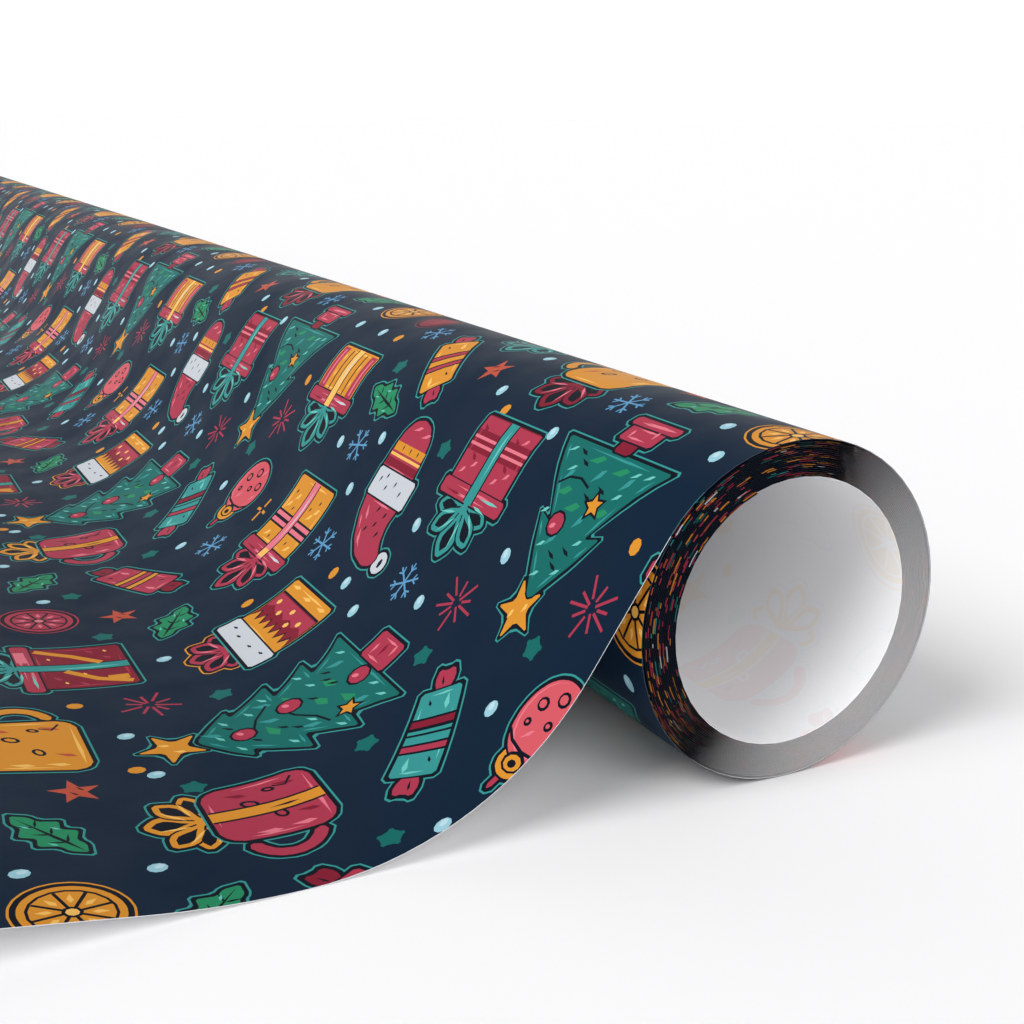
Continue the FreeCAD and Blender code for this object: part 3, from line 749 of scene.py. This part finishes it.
def cut_face(u_lines, shapes=(), cover=None, ground="navy", trim=()):
    """The rectangle u_lines[0]..u_lines[-1] by the roll's length: (u, v) points, triangles, inks.

    The rectangle comes first and the cover last, so the topmost shape over a triangle is the last
    of those that the triangulation says it lies in; triangles outside the rectangle are dropped.
    """
    low, high = np.array([0.0, u_lines[0] + WEB_FROM]), np.array([length, u_lines[-1] + WEB_FROM])
    cut, ink_of = [np.array([low, (high[0], low[1]), high, (low[0], high[1])])], [ground]
    for shape, ink in copies(shapes, low, high, cover):
        cut.append(shape)
        ink_of.append(ink)
    if cover is not None:
        cut.append(block(cover[0], low[1], cover[1], high[1]))
        ink_of.append(ground)
    for shape, ink in trim:
        cut.append(shape)
        ink_of.append(ink)
    folds = u_lines[1:-1] + WEB_FROM
    across = [np.c_[np.full(len(folds), end), folds] for end in (low[0], high[0])]
    sizes = np.cumsum([0] + [len(shape) for shape in cut])
    faces = [list(range(a, b)) for a, b in zip(sizes[:-1], sizes[1:])]
    edges = [(sizes[-1] + n, sizes[-1] + len(folds) + n) for n in range(len(folds))]
    corners = [Vector(c) for c in (np.concatenate(cut + across) - low).tolist()]
    out = delaunay_2d_cdt(corners, edges, faces, 0, 1e-5)
    inside = np.array([0 in covered for covered in out[5]])
    tints = [ink_of[max(covered)] for covered, kept in zip(out[5], inside) if kept]
    used, triangles = np.unique(np.array([tuple(t) for t in out[2]])[inside], return_inverse=True)
    points = np.array([tuple(p) for p in out[0]])[used] + low
    return points[:, ::-1] - (WEB_FROM, 0), triangles.reshape(-1, 3), tints


# %% [markdown]
# ## A sheet of paper in the round
#
# The face is laid along the web's line: u becomes the distance along it and v the place along the
# roll. The back is the same line a hair's breadth inside, and where it is plain it needs no more
# than one strip from fold to fold. The cut edge goes round all four sides, in flat polygons from
# fold to fold, so that the sheet is closed. The shading directions are the line's own, and so the
# folds don't show.

# %% The back and the cut edge
def plain_back(u_lines):
    """One strip from fold to fold, over the whole length of the roll."""
    count = len(u_lines)
    points = np.c_[np.tile(u_lines, 2), np.repeat([0.0, length], count)]
    n = np.arange(count - 1)
    return points, np.c_[n, n + 1, n + 1 + count, n + count], ["back"] * (count - 1)


def along_side(points, fixed, value, free, low, high):
    """Numbers of the points that lie on one side between two places, in order along it."""
    on = np.flatnonzero((np.abs(points[:, fixed] - value) < 1e-3)
                        & (points[:, free] > low - 1e-3) & (points[:, free] < high + 1e-3))
    return on[np.argsort(points[on, free])]


def cut_edges(face, back, u_lines):
    """Flat polygons between face and back: one for each fold at the two ends, one at each long side."""
    offset, polygons, ways = len(face), [], []
    for value, way in ((0.0, -1), (length, 1)):
        for low, high in zip(u_lines[:-1], u_lines[1:]):
            front = along_side(face, 1, value, 0, low, high)
            rear = along_side(back, 1, value, 0, low, high) + offset
            polygons.append(np.r_[front, rear[::-1]][::-way])
            ways.append((0, way))
    for value, way in ((u_lines[0], -1), (u_lines[-1], 1)):
        front = along_side(face, 0, value, 1, 0.0, length)
        rear = along_side(back, 0, value, 1, 0.0, length) + offset
        polygons.append(np.r_[front, rear[::-1]][::way])
        ways.append((way, 0))
    return polygons, ways


# %% Put a sheet together
SURFACES = {**inks, "back": back_white, "bore_back": bore_back, "edge": cut_edge, "inked_edge": inked_edge,
            **{"ghost_" + k: m for k, m in ghosts.items()}}


def sheet_of_paper(name, line, zero, u_from, u_to, shapes=(), cover=None, ghost_shapes=(), ghost_cover=None,
                   fold=2.33, thick=SHEET, back_is="back", edge_is="edge", trim=()):
    """A closed sheet from u_from to u_to, with folds at line(u - zero) and flat between them.

    The back lies `thick` behind the face.
    """
    u_lines = np.linspace(u_from, u_to, round((u_to - u_from) / fold) + 1)
    face, triangles, tints = cut_face(u_lines, shapes, cover, "navy", trim)
    if ghost_shapes:
        back, behind, shades = cut_face(u_lines, ghost_shapes, ghost_cover, "back")
        behind = behind[:, ::-1]
    else:
        back, behind, shades = plain_back(u_lines)
    rims, ways = cut_edges(face, back, u_lines)
    at, out = on_line(line, u_lines - zero)
    spots, out3 = [], []
    for side, depth, facing in ((face, 0.0, 1.0), (back, thick, -1.0)):
        x, z = [np.interp(side[:, 0], u_lines, (at - out * depth)[:, k]) for k in (0, 1)]
        spots.append(np.c_[x, side[:, 1] + near_end, z] * MM)
        away = on_line(line, side[:, 0] - zero)[1] * facing
        out3.append(np.c_[away[:, 0], np.zeros(len(side)), away[:, 1]])
    spots, out3 = np.concatenate(spots), np.concatenate(out3)
    loops = np.concatenate([triangles.ravel(), (behind + len(face)).ravel()] + rims)
    counts = np.r_[np.full(len(triangles), 3), np.full(len(behind), behind.shape[1]), [len(r) for r in rims]]
    directions = [out3[triangles.ravel()], out3[(behind + len(face)).ravel()]]
    for rim, (along, across) in zip(rims, ways):
        tangent = np.array([-out3[rim[0], 2], 0.0, out3[rim[0], 0]])
        directions.append(np.tile(along * tangent + np.array([0.0, across, 0.0]), (len(rim), 1)))
    kinds = tints + ["ghost_" + s if s in SHOW_THROUGH else back_is for s in shades] + [edge_is] * len(rims)
    return paper_mesh(name, spots, loops, counts, np.concatenate(directions), kinds)


def paper_mesh(name, spots, loops, counts, directions, kinds):
    """Whole arrays into a mesh: points, corners, polygons, their inks, and a direction for every corner."""
    mesh = bpy.data.meshes.new(name)
    mesh.vertices.add(len(spots))
    mesh.vertices.foreach_set("co", spots.astype(np.float32).ravel())
    mesh.loops.add(len(loops))
    mesh.loops.foreach_set("vertex_index", loops.astype(np.int32))
    mesh.polygons.add(len(counts))
    mesh.polygons.foreach_set("loop_start", np.r_[0, np.cumsum(counts)[:-1]].astype(np.int32))
    used = sorted(set(kinds))
    for kind in used:
        mesh.materials.append(SURFACES[kind])
    number = {kind: n for n, kind in enumerate(used)}
    mesh.polygons.foreach_set("material_index", np.array([number[k] for k in kinds], np.int32))
    mesh.update(calc_edges=True)
    if mesh.validate(verbose=False):
        print(name, "needed mending")
    mesh.shade_smooth()
    mesh.normals_split_custom_set(directions.tolist())
    made = bpy.data.objects.new(name, mesh)
    bpy.context.scene.collection.objects.link(made)
    mesh.calc_loop_triangles()
    print(f"{name}: {len(mesh.loop_triangles)} triangles")
    return made


def declare(piece, span, under, *nodes):
    """Hides the imported parts that the piece stands in for."""
    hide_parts(*nodes)


# %% [markdown]
# ## The outer turn
#
# The outermost turn goes once round the roll, from its hidden start under the sheet to the line
# where the sheet leaves. All of it can be seen from one side or another, so all of it is printed.
# It is made in two halves, because one mesh would be very heavy, and they meet without a gap: both
# are cut at the same place of the same line.

# %% Outer turn, in two halves
middle = -turn_length / 2
# The cut edges of both halves are painted dark as shade, as on the wound turns.
first_half = sheet_of_paper("outer_turn_inner_half", web, -turn_length, -turn_length, middle, PRINT,
                            edge_is="inked_edge")
second_half = sheet_of_paper("outer_turn_outer_half", web, -turn_length, middle, 0.0, PRINT,
                             edge_is="inked_edge")
for half in (first_half, second_half):
    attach(half, "outer_turn")
    declare(half, turn_length / 2, ["turn_02_paper"], "turn_01")

# %% [markdown]
# ## The free sheet
#
# From the roll the sheet runs down, lies on the table along one line and lifts again. On the real
# roll it can be raised anywhere, and bends as it goes. The model turns it about the line on the table
# and about a second one nearer its free edge; here it is made in two pieces that part 16 mm before
# that second line.

# %% From the roll over the table, and on to the free edge
on_table = straight + (RISE_BEND - CALIPER) * radians(drop)
second_fold = on_table + (FRONT_BEND - CALIPER) * radians(FRONT_LIFT) + FRONT_STRAIGHT + FOLD_GAP / 2
parting, free_edge = second_fold - BLEND, web["length"] - turn_length


rise = sheet_of_paper("sheet_from_roll", web, -turn_length, 0.0, parting, PRINT)
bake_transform(rise)
declare(rise, parting, ["floor"], "sheet_rise")
panel = sheet_of_paper("sheet_to_free_edge", web, -turn_length, parting, free_edge, PRINT)
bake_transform(panel)
declare(panel, free_edge - parting, ["sheet_from_roll"], "sheet_front", "sheet_edge")
print("on the table at", round(on_table, 2), "mm, second fold at", round(second_fold, 2), "mm")

# %% [markdown]
# ## The turns inside
#
# Nineteen more turns lie under the outer one. What shows of them is the ring at each end of the
# roll: looking along the gaps one sees coloured print on one side and white backs on the other. The
# groups slide apart like a telescope, so the outermost turn of each group is printed as far as it
# can come out. The innermost turn's back is the wall of the bore: it is painted a little greyer than
# the other backs as shade, and the print shows faintly through the paper there. Along both ends of
# the web the printed face has a dark strip of painted shade for the narrow gaps, with short dashes
# of the print's inks on it, and the cut edge is painted dark as shade. The dashes are scattered
# from a fixed seed.

# %% Nineteen wound turns
PACKS = {"pack_outer": range(2, 7), "pack_middle": range(7, 12), "pack_inner": range(12, 17),
         "pack_heart": range(17, 21)}
COMES_OUT, SHOWS = 44.0, 2.0       # how far in from each end a turn is printed: if it slides, if not
GHOSTS_SEEN, GHOST_SHIFT = 110.0, 19.6      # how far in the bore shows the print, and its place there
# The dark strip at each end is painted shade for the narrow gaps between the wound turns.
SHADE_STRIP = 0.5                        # width of the dark strip at each end of the roll
DASHES = ("red", "mustard", "pine", "rust", "teal", "snow")
DASH_SHARES = (0.38, 0.24, 0.17, 0.12, 0.06, 0.03)
GHOST_INKS = ("mustard", "red", "crimson", "pine", "teal", "line")


def edge_dashes(u_from, u_to, rng, every=3.8):
    """A dark strip of painted shade along both ends of the roll, and short dashes of the print's inks on it."""
    strips = [(block(v, u_from + WEB_FROM, v + SHADE_STRIP, u_to + WEB_FROM), "line") for v in (0.0, length - SHADE_STRIP)]
    count = int((u_to - u_from) / every)
    for v in (0.0, length):
        begin = rng.uniform(u_from, u_to - 3, count) + WEB_FROM
        long, deep = rng.uniform(0.4, 2.2, count), rng.uniform(0.10, 0.34, count)
        near = np.full(count, v) if v == 0 else length - deep
        picked = rng.choice(DASHES, count, p=DASH_SHARES)
        strips += [(block(n, b, n + w, b + d), str(i)) for n, w, b, d, i in zip(near, deep, begin, long, picked)]
    return strips


dash_places = np.random.default_rng(20)
through = [(shape - (0, GHOST_SHIFT), ink) for shape, ink in PRINT if ink in GHOST_INKS]
wound_so_far = -turn_length
for pack, numbers in PACKS.items():
    for number in numbers:
        start, heading, runs = wound(number)
        line = follow(start, heading, runs)
        begins = wound_so_far - line["length"]
        shown = COMES_OUT if number in (7, 12, 17) else SHOWS
        made = sheet_of_paper(f"turn_{number:02d}_paper", line, begins, begins, wound_so_far,
                              PRINT, (shown, length - shown), through if number == 20 else (),
                              (GHOSTS_SEEN, length - GHOSTS_SEEN), thick=TURN,
                              back_is="bore_back" if number == 20 else "back", edge_is="inked_edge",
                              trim=edge_dashes(begins, wound_so_far, dash_places))
        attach(made, pack)
        under = f"turn_{number + 1:02d}_paper" if number < 20 else "turn_19_paper"
        declare(made, line["length"], [under], f"turn_{number:02d}")
        wound_so_far = begins
print("paper on the roll and off it:", round(free_edge - wound_so_far), "mm")

# %% The last line
bpy.context.view_layer.update()
